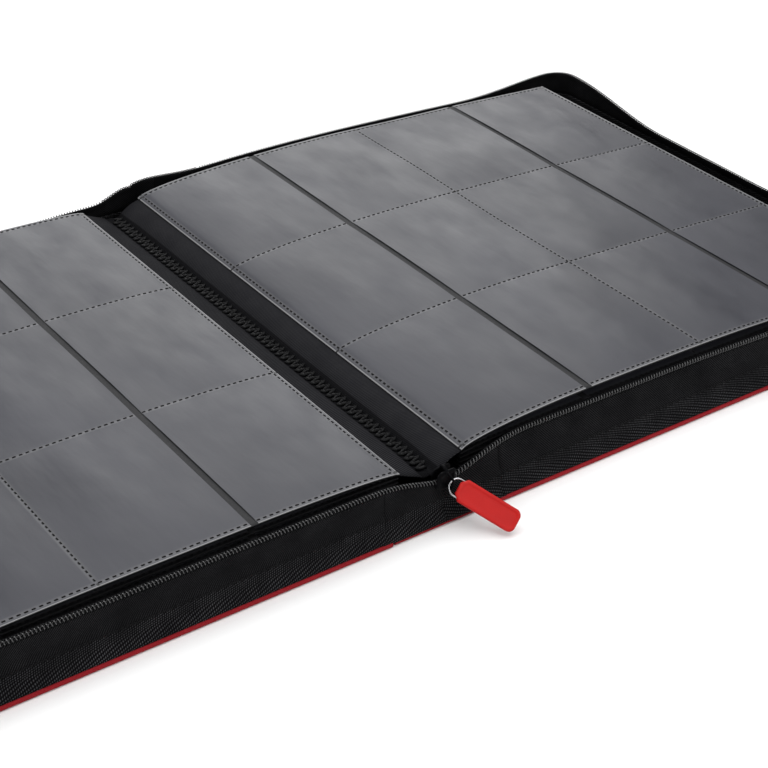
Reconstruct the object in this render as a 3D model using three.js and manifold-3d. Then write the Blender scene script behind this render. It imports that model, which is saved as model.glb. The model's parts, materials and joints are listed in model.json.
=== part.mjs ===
// A zip-around trading card binder, lying open on its outer covers.
// Millimetres, +Z up. +X runs from the spine towards the back cover's fore-edge and +Y along
// the spine, away from the slider. The origin is the centre of the spine's underside.
import * as THREE from 'three';
import { mergeVertices } from 'three/addons/utils/BufferGeometryUtils.js';
import Module from 'manifold-3d';

const wasm = await Module();
wasm.setup();

// Pockets and leaves. A pocket takes one 63 x 88 mm card.
const COLUMNS = 4;
const ROWS = 3;
const COLUMN_PITCH = 69.8;
const ROW_PITCH = 94;
const SEAM_INSET = 2;
const POCKET_MOUTH = 2.4;
const LEAVES = 10;
const LEAF_PITCH = 2.2;
const LEAF_THICKNESS = 1.2;
const FILM = 0.3;
const BACKING = 0.4;
const POCKET_DEPTH = 0.5;

// Covers and spine, from the outside in: skin, board, lining.
const GAP = 0.3;
const SKIN = 0.8;
const BOARD = 2.1;
const LINING = 0.5;
const BOARD_LOW = SKIN + GAP;
const LINING_LOW = BOARD_LOW + BOARD + GAP;
const LINING_TOP = LINING_LOW + LINING;
const COVER_EDGE = 325.5;
const COVER_HALF = 157;
const COVER_RADIUS = 14;
const COVER_INNER = 28.3;
const SKIN_OVERHANG = 3.5;
const SPINE_SKIN_HALF = 26.7;
const SPINE_BOARD_HALF = 24.5;

// Walls round three sides of each cover: a gusset, a zip tape and a zip coil.
const WALL_START = 31;
const WALL_OUTER = 322.5;
const WALL_HALF = 152.5;
const WALL_RADIUS = 13;
const GUSSET = 1.3;
const GUSSET_LOW = LINING_TOP + GAP;
const GUSSET_TOP = 15;
const TAPE = 1;
const TAPE_LOW = GUSSET_TOP + GAP;
const TAPE_TOP = 27;
const COIL = 1.9;
const COIL_LOW = TAPE_TOP + GAP;
const COIL_TOP = 29.2;
const COIL_START = 58;

// Leaves: where they lie.
const LEAF_INNER = 16.5;
const LEAF_OUTER = LEAF_INNER + 2 * SEAM_INSET + COLUMNS * COLUMN_PITCH;
const LEAF_HALF = ROWS * ROW_PITCH / 2 + SEAM_INSET;
const LOWEST_LEAF = 5.5;
const TOP_LEAF = LOWEST_LEAF + (LEAVES - 1) * LEAF_PITCH;

// Binding down the middle: a sewn strip, two cloth margins and a zigzag seam.
const STRIP_FOOT_HALF = 2.2;
const STRIP_NECK_HALF = 0.8;
const STRIP_FOOT_TOP = 7.8;
const STRIP_TOP = 12.7;
const SEAM_HALF = 1.1;
const SEAM_WIDTH = 0.8;
const SEAM_PITCH = 6;
const MARGIN = 0.8;

// Slider, its bail and the pull.
const SLOT_HALF = 1.4;
const SLOT_OFFSET = 0.05;
const SLOT_CENTRE = -(WALL_HALF - GUSSET / 2 + SLOT_OFFSET);
const PLATE = 1.2;
const SLIDER_LOW = 18;
const SLIDER_TOP = 31;
const SLIDER_HALF = 5.4;
const SLIDER_TAPER = 2.5;
const SLIDER_BEVEL = 1;
const POST_HALF = 1.2;
const POST_LOW = COIL_TOP + GAP;
const BAIL_HALF = 0.45;
const BAIL_REACH = 4.6;
const BAIL_BAR = 0.8;
const BAIL_LOW = 20;
const BAIL_HIGH = 27;
const WIRE_RADIUS = 0.45;
const WIRE_LOOP_HALF = 3.9;
const WIRE_LOOP_LENGTH = 12;
const WIRE_SIDES = 8;
const WIRE_STEPS = 24;
const TAB_START = 4;
const TAB_LENGTH = 30.5;
const TAB_WIDTH = 10.6;
const TAB_THICKNESS = 2.4;
const TAB_RADIUS = 2.8;
const TAB_CUT = 2.4;
const PULL_YAW = THREE.MathUtils.degToRad(48);
const PULL_DROOP = THREE.MathUtils.degToRad(31.6);
const PULL_TWIST = THREE.MathUtils.degToRad(48);
const PULL_PIVOT_HEIGHT = 22.8;

const CORNER_STEPS = 8;
const SIDES = { front: -1, back: 1 };
const ENDS = { near: -1, far: 1 };

const finish = {
  skin: new THREE.MeshStandardMaterial({ color: 0x8a1518, roughness: 0.55 }),
  board: new THREE.MeshStandardMaterial({ color: 0x8d8778, roughness: 0.95 }),
  cloth: new THREE.MeshStandardMaterial({ color: 0x17171a, roughness: 0.85 }),
  coil: new THREE.MeshStandardMaterial({ color: 0x1b1b1d, roughness: 0.35 }),
  backing: new THREE.MeshStandardMaterial({ color: 0x121214, roughness: 0.6 }),
  film: new THREE.MeshStandardMaterial({ color: 0x707174, roughness: 0.35 }),
  leaf: new THREE.MeshStandardMaterial({ color: 0x4d4e51, roughness: 0.45 }),
  slider: new THREE.MeshStandardMaterial({ color: 0x141414, roughness: 0.3, metalness: 0.8 }),
  wire: new THREE.MeshStandardMaterial({ color: 0xb5b6b8, roughness: 0.25, metalness: 1 }),
  rubber: new THREE.MeshStandardMaterial({ color: 0xa3181d, roughness: 0.6 }),
};

const binder = new THREE.Group();

function place(name, geometry, material, parent = binder) {
  const mesh = new THREE.Mesh(geometry, material);
  mesh.name = name;
  parent.add(mesh);
  return mesh;
}

function extrude(outline, depth) {
  return new THREE.ExtrudeGeometry(outline, {
    depth,
    bevelEnabled: false,
    curveSegments: CORNER_STEPS,
  });
}

// A flat layer: an outline seen from above, from low to high.
function layer(name, points, low, high, material) {
  const mesh = place(name, extrude(new THREE.Shape(points), high - low), material);
  mesh.position.z = low;
}

// A long piece: a section in X and Z, run along Y to half on both sides.
function run(name, section, half, material) {
  const mesh = place(name, extrude(new THREE.Shape(section), 2 * half), material);
  mesh.rotation.x = Math.PI / 2;
  mesh.position.y = half;
}

function point(x, y) {
  return new THREE.Vector2(x, y);
}

function rectangle(low, high, half) {
  return [point(low, -half), point(high, -half), point(high, half), point(low, half)];
}

// The fore-edge of a cover or wall, with its two rounded corners.
function foreEdge(side, outer, half, radius) {
  const points = [];
  for (const end of [-1, 1]) {
    for (let step = 0; step <= CORNER_STEPS; step += 1) {
      const share = (end < 0 ? step : CORNER_STEPS - step) / CORNER_STEPS;
      const turn = share * Math.PI / 2;
      const x = outer - radius + radius * Math.sin(turn);
      const y = half - radius + radius * Math.cos(turn);
      points.push(point(side * x, end * y));
    }
  }
  return points;
}

function coverOutline(side, inner, inset) {
  const half = COVER_HALF - inset;
  const edge = foreEdge(side, COVER_EDGE - inset, half, COVER_RADIUS - inset);
  return [point(side * inner, -half), ...edge, point(side * inner, half)];
}

// A wall that goes round three sides, open at the spine. Its middle line is the gusset's.
function wallOutline(side, start, thickness) {
  const inset = (GUSSET - thickness) / 2;
  const outline = (depth) => {
    const half = WALL_HALF - depth;
    const edge = foreEdge(side, WALL_OUTER - depth, half, WALL_RADIUS - depth);
    return [point(side * start, -half), ...edge, point(side * start, half)];
  };
  return [...outline(inset), ...outline(inset + thickness).reverse()];
}

function toSolid(geometry) {
  const bare = geometry.clone();
  bare.deleteAttribute('normal');
  bare.deleteAttribute('uv');
  const merged = mergeVertices(bare);
  const mesh = new wasm.Mesh({
    numProp: 3,
    vertProperties: Float32Array.from(merged.attributes.position.array),
    triVerts: Uint32Array.from(merged.index.array),
  });
  return new wasm.Manifold(mesh);
}

function toGeometry(solid) {
  const mesh = solid.getMesh();
  const geometry = new THREE.BufferGeometry();
  geometry.setAttribute('position', new THREE.BufferAttribute(mesh.vertProperties, 3));
  geometry.setIndex(new THREE.BufferAttribute(mesh.triVerts, 1));
  geometry.computeVertexNormals();
  return geometry;
}

function addSpine() {
  const skin = rectangle(-SPINE_SKIN_HALF, SPINE_SKIN_HALF, COVER_HALF);
  const board = rectangle(-SPINE_BOARD_HALF, SPINE_BOARD_HALF, COVER_HALF - SKIN_OVERHANG);
  layer('spine_skin', skin, 0, SKIN, finish.skin);
  layer('spine_board', board, BOARD_LOW, BOARD_LOW + BOARD, finish.board);
  layer('spine_lining', board, LINING_LOW, LINING_TOP, finish.cloth);
}

function addCover(name, side) {
  const skin = coverOutline(side, COVER_INNER, 0);
  const board = coverOutline(side, COVER_INNER + GAP, SKIN_OVERHANG);
  layer(`${name}_cover_skin`, skin, 0, SKIN, finish.skin);
  layer(`${name}_cover_board`, board, BOARD_LOW, BOARD_LOW + BOARD, finish.board);
  layer(`${name}_cover_lining`, board, LINING_LOW, LINING_TOP, finish.cloth);
  const gusset = wallOutline(side, WALL_START, GUSSET);
  const tape = wallOutline(side, WALL_START, TAPE);
  const coil = wallOutline(side, COIL_START, COIL);
  layer(`${name}_gusset`, gusset, GUSSET_LOW, GUSSET_TOP, finish.cloth);
  layer(`${name}_zip_tape`, tape, TAPE_LOW, TAPE_TOP, finish.cloth);
  layer(`${name}_zip_coil`, coil, COIL_LOW, COIL_TOP, finish.coil);
}

// A straight bar across the spine, in line with the walls at one end of it.
function acrossSpine(end, reach, thickness) {
  const middle = end * (WALL_HALF - GUSSET / 2);
  const low = middle - thickness / 2;
  const high = middle + thickness / 2;
  return [point(-reach, low), point(reach, low), point(reach, high), point(-reach, high)];
}

function addSpineEnds() {
  for (const [name, end] of Object.entries(ENDS)) {
    const gusset = acrossSpine(end, WALL_START - GAP, GUSSET);
    const coil = acrossSpine(end, COIL_START - GAP, COIL);
    layer(`${name}_gusset_end`, gusset, GUSSET_LOW, TAPE_TOP - GAP, finish.cloth);
    layer(`${name}_zip_end`, coil, COIL_LOW, COIL_TOP, finish.coil);
  }
}

// The zigzag line of thread, as one flat ribbon.
function zigzag() {
  const turns = Math.floor(2 * (LEAF_HALF - SEAM_PITCH) / SEAM_PITCH);
  const left = [];
  const right = [];
  for (let turn = 0; turn <= 2 * turns; turn += 1) {
    const y = (turn - turns) * SEAM_PITCH / 2;
    const x = turn % 2 ? SEAM_HALF - SEAM_WIDTH / 2 : SEAM_WIDTH / 2 - SEAM_HALF;
    left.push(point(x - SEAM_WIDTH / 2, y));
    right.push(point(x + SEAM_WIDTH / 2, y));
  }
  return [...left, ...right.reverse()];
}

function addBinding() {
  const foot = LINING_TOP + GAP;
  const strip = [
    point(-STRIP_FOOT_HALF, foot),
    point(STRIP_FOOT_HALF, foot),
    point(STRIP_FOOT_HALF, STRIP_FOOT_TOP),
    point(STRIP_NECK_HALF, STRIP_FOOT_TOP),
    point(STRIP_NECK_HALF, STRIP_TOP),
    point(-STRIP_NECK_HALF, STRIP_TOP),
    point(-STRIP_NECK_HALF, STRIP_FOOT_TOP),
    point(-STRIP_FOOT_HALF, STRIP_FOOT_TOP),
  ];
  run('binding_strip', strip, LEAF_HALF, finish.cloth);
  layer('binding_stitch', zigzag(), STRIP_TOP + GAP, STRIP_TOP + GAP + SEAM_WIDTH, finish.cloth);
  const low = STRIP_TOP + GAP;
  const high = TOP_LEAF - MARGIN;
  const outer = LEAF_INNER - GAP;
  for (const [name, side] of Object.entries(SIDES)) {
    const margin = [
      point(side * STRIP_FOOT_HALF, low),
      point(side * outer, high),
      point(side * outer, high + MARGIN),
      point(side * STRIP_FOOT_HALF, low + MARGIN),
    ];
    run(`${name}_page_margin`, margin, LEAF_HALF, finish.cloth);
  }
}

// The top leaf of a side: a backing with three film panels on each face.
function addTopLeaf(name, side) {
  const leaf = `${name}_leaf_1`;
  const backing = rectangle(side * LEAF_INNER, side * LEAF_OUTER, LEAF_HALF);
  layer(`${leaf}_backing`, backing, TOP_LEAF - BACKING / 2, TOP_LEAF + BACKING / 2, finish.backing);
  const mouth = POCKET_MOUTH / 2;
  const first = LEAF_INNER + SEAM_INSET + COLUMN_PITCH;
  const last = first + 2 * COLUMN_PITCH;
  const panels = {
    inner: [LEAF_INNER, first - mouth],
    middle: [first + mouth, last - mouth],
    outer: [last + mouth, LEAF_OUTER],
  };
  const rise = BACKING / 2 + POCKET_DEPTH;
  const faces = { upper: TOP_LEAF + rise, lower: TOP_LEAF - rise - FILM };
  for (const [face, low] of Object.entries(faces)) {
    for (const [panel, [from, to]] of Object.entries(panels)) {
      const outline = rectangle(side * from, side * to, LEAF_HALF);
      layer(`${leaf}_${face}_film_${panel}`, outline, low, low + FILM, finish.film);
    }
  }
}

function addLeaves(name, side) {
  addTopLeaf(name, side);
  const outline = rectangle(side * LEAF_INNER, side * LEAF_OUTER, LEAF_HALF);
  for (let number = 2; number <= LEAVES; number += 1) {
    const low = TOP_LEAF - (number - 1) * LEAF_PITCH - LEAF_THICKNESS / 2;
    layer(`${name}_leaf_${number}`, outline, low, low + LEAF_THICKNESS, finish.leaf);
  }
}

// One plate of the slider, from the given Y for its thickness.
function sliderPlate(from) {
  const plate = extrude(new THREE.Shape([
    point(-SLIDER_HALF, SLIDER_LOW + SLIDER_TAPER),
    point(-POST_HALF, SLIDER_LOW),
    point(SLIDER_HALF, SLIDER_LOW),
    point(SLIDER_HALF, SLIDER_TOP - SLIDER_BEVEL),
    point(SLIDER_HALF - SLIDER_BEVEL, SLIDER_TOP),
    point(-POST_HALF, SLIDER_TOP),
    point(-SLIDER_HALF, SLIDER_TOP - SLIDER_TAPER),
  ]), PLATE);
  plate.rotateX(Math.PI / 2);
  plate.translate(0, from + PLATE, 0);
  return toSolid(plate);
}

function addSlider() {
  const outside = SLOT_CENTRE - SLOT_HALF;
  const depth = 2 * (SLOT_HALF + PLATE / 2);
  const post = new THREE.BoxGeometry(2 * POST_HALF, depth, SLIDER_TOP - POST_LOW);
  post.translate(0, SLOT_CENTRE, (SLIDER_TOP + POST_LOW) / 2);
  const body = sliderPlate(outside - PLATE)
    .add(sliderPlate(SLOT_CENTRE + SLOT_HALF))
    .add(toSolid(post));
  place('slider_body', toGeometry(body), finish.slider);

  const face = outside - PLATE - GAP;
  const bail = extrude(new THREE.Shape([
    point(face, BAIL_LOW),
    point(face, BAIL_LOW + BAIL_BAR),
    point(face - BAIL_REACH + BAIL_BAR, BAIL_LOW + BAIL_BAR),
    point(face - BAIL_REACH + BAIL_BAR, BAIL_HIGH - BAIL_BAR),
    point(face, BAIL_HIGH - BAIL_BAR),
    point(face, BAIL_HIGH),
    point(face - BAIL_REACH, BAIL_HIGH),
    point(face - BAIL_REACH, BAIL_LOW),
  ]), 2 * BAIL_HALF);
  const toYZ = new THREE.Matrix4().makeBasis(
    new THREE.Vector3(0, 1, 0),
    new THREE.Vector3(0, 0, 1),
    new THREE.Vector3(1, 0, 0),
  );
  bail.applyMatrix4(toYZ);
  bail.translate(-BAIL_HALF, 0, 0);
  place('slider_bail', bail, finish.slider);
}

// A wire loop with two straight sides and round ends. One end's middle is at the origin.
function wireLoop(radius) {
  const loop = new THREE.TorusGeometry(WIRE_LOOP_HALF, radius, WIRE_SIDES, WIRE_STEPS);
  loop.rotateZ(Math.PI / WIRE_STEPS);
  const position = loop.attributes.position;
  const stretch = WIRE_LOOP_LENGTH / 2 - WIRE_LOOP_HALF;
  for (let i = 0; i < position.count; i += 1) {
    position.setX(i, position.getX(i) + Math.sign(position.getX(i)) * stretch);
  }
  loop.translate(WIRE_LOOP_LENGTH / 2, 0, 0);
  return loop;
}

// The tab has cut corners at the wire and round corners at its free end.
function tabOutline() {
  const half = TAB_WIDTH / 2;
  const shape = new THREE.Shape();
  const end = TAB_START + TAB_LENGTH;
  shape.moveTo(TAB_START, -half + TAB_CUT);
  shape.lineTo(TAB_START + TAB_CUT, -half);
  shape.absarc(end - TAB_RADIUS, -half + TAB_RADIUS, TAB_RADIUS, 1.5 * Math.PI, 2 * Math.PI);
  shape.absarc(end - TAB_RADIUS, half - TAB_RADIUS, TAB_RADIUS, 0, 0.5 * Math.PI);
  shape.lineTo(TAB_START + TAB_CUT, half);
  shape.lineTo(TAB_START, half - TAB_CUT);
  return shape;
}

// The pull: a wire loop through the bail, moulded into a rubber tab.
function addPull() {
  const along = new THREE.Vector3(
    Math.sin(PULL_YAW) * Math.cos(PULL_DROOP),
    -Math.cos(PULL_YAW) * Math.cos(PULL_DROOP),
    -Math.sin(PULL_DROOP),
  );
  const across = new THREE.Vector3(Math.cos(PULL_YAW), Math.sin(PULL_YAW), 0)
    .applyAxisAngle(along, PULL_TWIST);
  const up = along.clone().cross(across);
  const face = SLOT_CENTRE - SLOT_HALF - PLATE - GAP;
  const pull = new THREE.Group();
  pull.position.set(0, face - (BAIL_REACH - BAIL_BAR) / 2, PULL_PIVOT_HEIGHT);
  pull.setRotationFromMatrix(new THREE.Matrix4().makeBasis(along, across, up));
  binder.add(pull);

  place('pull_link', mergeVertices(wireLoop(WIRE_RADIUS)), finish.wire, pull);
  const tab = extrude(tabOutline(), TAB_THICKNESS);
  tab.translate(0, 0, -TAB_THICKNESS / 2);
  const rubber = toSolid(tab).subtract(toSolid(wireLoop(WIRE_RADIUS + GAP)));
  place('pull_tab', toGeometry(rubber), finish.rubber, pull);
}

addSpine();
addSpineEnds();
addBinding();
for (const [name, side] of Object.entries(SIDES)) {
  addCover(name, side);
  addLeaves(name, side);
}
addSlider();
addPull();

export default binder;
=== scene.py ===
"""Looks of the zip-around trading card binder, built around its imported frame. Metres, +Z up."""
import json
import math

import bmesh
import bpy
import numpy as np
from mathutils import Matrix, Vector, noise


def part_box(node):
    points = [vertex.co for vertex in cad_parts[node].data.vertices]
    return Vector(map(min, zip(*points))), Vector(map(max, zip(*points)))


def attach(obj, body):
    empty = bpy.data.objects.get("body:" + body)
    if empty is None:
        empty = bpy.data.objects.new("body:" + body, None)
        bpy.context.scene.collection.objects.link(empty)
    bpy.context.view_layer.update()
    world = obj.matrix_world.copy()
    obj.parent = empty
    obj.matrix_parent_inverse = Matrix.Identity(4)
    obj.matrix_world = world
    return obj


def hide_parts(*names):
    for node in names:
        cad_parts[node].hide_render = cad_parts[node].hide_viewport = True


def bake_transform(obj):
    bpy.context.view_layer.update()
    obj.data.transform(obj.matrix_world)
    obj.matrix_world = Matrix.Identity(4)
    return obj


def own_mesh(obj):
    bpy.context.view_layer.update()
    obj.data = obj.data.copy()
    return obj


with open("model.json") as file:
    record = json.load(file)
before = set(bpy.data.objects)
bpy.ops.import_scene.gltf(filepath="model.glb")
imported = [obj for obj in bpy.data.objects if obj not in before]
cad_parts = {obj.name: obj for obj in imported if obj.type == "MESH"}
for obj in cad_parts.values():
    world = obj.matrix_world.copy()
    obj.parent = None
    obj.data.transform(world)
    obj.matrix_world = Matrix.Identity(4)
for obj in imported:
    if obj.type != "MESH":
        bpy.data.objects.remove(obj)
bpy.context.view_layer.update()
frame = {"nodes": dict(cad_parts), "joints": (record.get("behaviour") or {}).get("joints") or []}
bpy.ops.object.select_all(action="DESELECT")

MM = 0.001
SIDES = {"front": -1, "back": 1}
ENDS = {"near": -1, "far": 1}
LEAVES = 10
COLUMNS, ROWS = 4, 3

# Places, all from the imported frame.
LEAF_LOW, LEAF_HIGH = (Vector(corner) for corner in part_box("back_leaf_1_backing"))
LEAF_INNER, LEAF_OUTER, LEAF_HALF = LEAF_LOW.x, LEAF_HIGH.x, LEAF_HIGH.y
SEAM_INSET = 2 * MM
COLUMN_PITCH = (LEAF_OUTER - LEAF_INNER - 2 * SEAM_INSET) / COLUMNS
ROW_PITCH = 2 * (LEAF_HALF - SEAM_INSET) / ROWS
FIRST_SEAM = LEAF_INNER + SEAM_INSET
MOUTHS = (FIRST_SEAM + COLUMN_PITCH, FIRST_SEAM + 3 * COLUMN_PITCH)
MOUTH_HALF = 1.75 * MM
STITCH_PITCH = 3.1 * MM
MIDDLE_SEAM = FIRST_SEAM + 2 * COLUMN_PITCH
WALL_HIGH = Vector(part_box("back_gusset")[1])
TAPE_START = float(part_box("back_zip_tape")[0][0])
SKIN_LOW, SKIN_HIGH = (Vector(corner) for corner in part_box("back_cover_skin"))
LINING_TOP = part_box("back_cover_lining")[1][2]
WALL_THICK = 1.3 * MM
WALL_MIDDLE_X = WALL_HIGH.x - WALL_THICK / 2
WALL_MIDDLE_Y = WALL_HIGH.y - WALL_THICK / 2
WALL_RADIUS = 12.35 * MM
COIL_MIDDLE = sum(float(corner[2]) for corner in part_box("back_zip_coil")) / 2
TAPE_FOOT = WALL_HIGH.z - 1.8 * MM
FORE_FLARE, END_FLARE = 1.9 * MM, 3.55 * MM
SKIN_RIM, SPINE_RIM = 3.0 * MM, 1.9 * MM


# ---------------------------------------------------------------- materials


class Finish:
    """A node material around one Principled shader."""

    def __init__(self, name, **sockets):
        self.material = bpy.data.materials.new(name)
        self.material.use_nodes = True
        self.tree = self.material.node_tree
        self.shader = self.tree.nodes["Principled BSDF"]
        for socket, value in sockets.items():
            self.set(socket.replace("_", " "), value)

    def feed(self, socket, value):
        """Links a socket to another one, or gives it a value."""
        if isinstance(value, bpy.types.NodeSocket):
            self.tree.links.new(value, socket)
        else:
            socket.default_value = value

    def set(self, socket, value):
        self.feed(self.shader.inputs[socket], value)

    def node(self, kind, inputs=None, **settings):
        made = self.tree.nodes.new(kind)
        for key, value in settings.items():
            setattr(made, key, value)
        for key, value in (inputs or {}).items():
            self.feed(made.inputs[key], value)
        return made

    def math(self, operation, a, b=0.0, c=0.0):
        return self.node("ShaderNodeMath", {0: a, 1: b, 2: c}, operation=operation).outputs[0]

    def sheet(self):
        """The piece's own flat coordinates, in metres."""
        return self.node("ShaderNodeUVMap", uv_map="sheet").outputs[0]

    def solid(self):
        return self.node("ShaderNodeTexCoord").outputs["Object"]

    def parts(self, vector):
        return self.node("ShaderNodeSeparateXYZ", {0: vector}).outputs

    def noise(self, vector, size, detail=3.0, rough=0.5, stretch=(1, 1, 1)):
        scaled = self.node("ShaderNodeMapping", {"Vector": vector, "Scale": stretch})
        inputs = {"Vector": scaled.outputs[0], "Scale": 1 / size, "Detail": detail, "Roughness": rough}
        return self.node("ShaderNodeTexNoise", inputs).outputs[0]

    def cells(self, vector, size):
        inputs = {"Vector": vector, "Scale": 1 / size}
        return self.node("ShaderNodeTexVoronoi", inputs, feature="DISTANCE_TO_EDGE").outputs["Distance"]

    def ribs(self, position, pitch):
        """A sine from 0 to 1 along position."""
        turn = self.math("MULTIPLY", position, 2 * math.pi / pitch)
        return self.math("MULTIPLY_ADD", self.math("SINE", turn), 0.5, 0.5)

    def remap(self, value, low, high, to_low=0.0, to_high=1.0):
        inputs = {0: value, 1: low, 2: high, 3: to_low, 4: to_high}
        return self.node("ShaderNodeMapRange", inputs).outputs[0]

    def mix(self, share, a, b):
        made = self.node("ShaderNodeMix", data_type="RGBA")
        for socket, value in ((0, share), (6, a), (7, b)):
            self.feed(made.inputs[socket], (*value, 1) if isinstance(value, tuple) else value)
        return made.outputs[2]

    def dress(self, color, roughness, height, depth, strength):
        """The material, with its colour, roughness and bump in place."""
        self.set("Base Color", color)
        self.set("Roughness", roughness)
        inputs = {"Height": height, "Distance": depth, "Strength": strength}
        self.set("Normal", self.node("ShaderNodeBump", inputs).outputs[0])
        return self.material


def leather():
    """Pebbled red synthetic leather, rubbed lighter on the tops of its grain."""
    made = Finish("cover_skin", Specular_IOR_Level=0.1)
    place = made.solid()
    grain = made.cells(place, 1.3 * MM)
    fine = made.noise(place, 0.5 * MM, 2)
    tone = made.noise(place, 60 * MM, 4)
    tops = made.remap(grain, 0.05, 0.45)
    shade = made.mix(tone, (0.19, 0.005, 0.009), (0.25, 0.0085, 0.013))
    color = made.mix(made.math("MULTIPLY", tops, 0.35), shade, (0.34, 0.016, 0.022))
    lift = made.math("ADD", made.math("MINIMUM", grain, 0.3), made.math("MULTIPLY", fine, 0.12))
    return made.dress(color, made.remap(tops, 0, 1, 0.62, 0.42), lift, 0.22 * MM, 0.7)


def woven(name, pitch, slant, light, depth=0.12 * MM, tint=(0.0016, 0.0016, 0.002), ribbed=0.0, floor=None):
    """Black woven nylon: slanted twill ribs with threads across them, or cords with light specks; the raised threads
    and the specks are coloured lighter, a painted sheen.
    It is darker up to floor, a distance across the cloth."""
    made = Finish(name, Specular_IOR_Level=0.033)
    place = made.sheet()
    along, across, _ = made.parts(place)
    if ribbed:
        bent = made.math("ADD", along, made.math("MULTIPLY", made.noise(place, 6 * MM, 2), 1.5 * MM))
        cords = made.ribs(bent, ribbed)
        rows = made.ribs(made.math("ADD", across, made.math("MULTIPLY", bent, slant)), pitch)
        specks = made.math("MULTIPLY", made.math("POWER", cords, 1.5), made.math("POWER", rows, 1.5))
        height = made.math("ADD", made.math("MULTIPLY", cords, 0.5), specks)
        shine = specks
    else:
        tilted = made.math("ADD", along, made.math("MULTIPLY", across, slant))
        twill = made.ribs(tilted, pitch)
        threads = made.ribs(made.math("SUBTRACT", across, made.math("MULTIPLY", along, 0.3)), pitch * 0.55)
        height = made.math("ADD", twill, made.math("MULTIPLY", threads, 0.35))
        shine = made.remap(height, 0.45, 1.3)
    sheen_patches = made.noise(place, 16 * MM, 4, 0.6)
    # Painted sheen: the raised threads, and the specks on cords, are coloured lighter, stronger in some patches than
    # others.
    share = made.math("MULTIPLY", shine, made.remap(sheen_patches, 0.3, 0.7, 0.35, 1.0))
    cloth = made.mix(share, tint, (light, light, light * 1.06))
    if floor:
        deep = made.remap(across, floor - 0.2 * MM, floor + 0.2 * MM, 0.82, 0)
        cloth = made.mix(deep, cloth, (0.003, 0.003, 0.0036))
    return made.dress(cloth, made.remap(height, 0, 1.4, 0.85, 0.55), height, depth, 0.9)


def seam_distance(made, along, across):
    """How far a point on a page is from its nearest stitched line, and a dash pattern along it."""
    width = COLUMNS * COLUMN_PITCH
    half_rows = ROWS * ROW_PITCH / 2

    def off(value, line):
        return made.math("ABSOLUTE", made.math("SUBTRACT", value, line))

    upright = made.math("MINIMUM", off(along, SEAM_INSET), off(along, SEAM_INSET + width))
    upright = made.math("MINIMUM", upright, off(along, SEAM_INSET + width / 2))
    level = made.math("ABSOLUTE", across)
    level = made.math("MINIMUM", off(level, half_rows), off(level, half_rows - ROW_PITCH))
    dashes = made.remap(made.ribs(across, STITCH_PITCH), 0.35, 0.5)
    dashes_level = made.remap(made.ribs(along, STITCH_PITCH), 0.35, 0.5)
    first = made.math("MULTIPLY", made.remap(upright, 0.42 * MM, 0.6 * MM, 1, 0), dashes)
    second = made.math("MULTIPLY", made.remap(level, 0.42 * MM, 0.6 * MM, 1, 0), dashes_level)
    return made.math("MINIMUM", upright, level), made.math("MAXIMUM", first, second)


def film(name="pocket_film", rim=(0.2, 0.2, 0.205), rim_width=0.6 * MM):
    """Soft clear film over a black backing: hazy grey, satin, with shallow creases and stitched lines. Beside the
    stitched lines it is lighter, a painted highlight; its edges take the rim colour, a painted highlight where the
    rim is light and painted shade where it is dark.
    """
    made = Finish(name, Specular_IOR_Level=0.37)
    place = made.sheet()
    along, across, _ = made.parts(place)
    near, dash = seam_distance(made, along, across)
    haze = made.noise(place, 75 * MM, 3, 0.45, (1, 0.6, 1))
    cloud = made.noise(place, 17 * MM, 4, 0.55, (1, 0.45, 1))
    tone = made.math("ADD", made.math("MULTIPLY", haze, 0.7), made.math("MULTIPLY", cloud, 0.3))
    grey = made.mix(made.remap(tone, 0.32, 0.68), (0.0242, 0.0250, 0.0318), (0.0375, 0.0385, 0.0480))
    # Painted highlight: the film is lighter beside each stitched line.
    seam_highlight = made.remap(near, 0.6 * MM, 1.7 * MM, 1, 0)
    grey = made.mix(made.math("MULTIPLY", seam_highlight, 0.35), grey, (0.12, 0.12, 0.125))
    length = COLUMNS * COLUMN_PITCH + 2 * SEAM_INSET
    edge = made.math("MINIMUM", along, made.math("SUBTRACT", length, along))
    edge = made.math("MINIMUM", edge, made.math("SUBTRACT", LEAF_HALF, made.math("ABSOLUTE", across)))
    # Painted light along the film's edges: a light rim is a painted highlight, a dark rim is painted shade.
    grey = made.mix(made.remap(edge, rim_width / 2, rim_width, 1, 0), grey, rim)
    color = made.mix(dash, grey, (0.004, 0.004, 0.005))
    creases = made.noise(place, 13 * MM, 3, 0.5, (1, 0.3, 1))
    dimples = made.noise(place, 1.1 * MM, 2)
    height = made.math("ADD", creases, made.math("MULTIPLY", dimples, 0.03))
    height = made.math("SUBTRACT", height, made.remap(near, 0, 1.5 * MM, 0.35, 0))
    height = made.math("ADD", height, made.math("MULTIPLY", dash, 0.3))
    return made.dress(color, made.remap(cloud, 0.3, 0.7, 0.3, 0.46), height, 0.7 * MM, 0.4)


def grained(made, grain, dark, light, roughness, depth):
    """A finish whose colour, roughness and relief all follow one noise."""
    return made.dress(made.mix(grain, dark, light), made.remap(grain, 0.3, 0.7, *roughness), grain, depth, 0.5)


def backing():
    """Black card between the two films, with a fine grain."""
    made = Finish("page_backing", Specular_IOR_Level=0.2)
    grain = made.noise(made.solid(), 0.7 * MM, 2)
    return grained(made, grain, (0.013, 0.013, 0.0142), (0.021, 0.021, 0.0226), (0.5, 0.7), 0.05 * MM)


def thread():
    """Twisted black thread."""
    made = Finish("thread", Specular_IOR_Level=0.12)
    place = made.solid()
    x, y, z = made.parts(place)
    twist = made.ribs(made.math("ADD", made.math("ADD", x, y), z), 0.55 * MM)
    color = made.mix(twist, (0.001, 0.001, 0.0013), (0.0045, 0.0045, 0.0053))
    return made.dress(color, made.remap(twist, 0, 1, 0.5, 0.32), twist, 0.1 * MM, 0.8)


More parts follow.
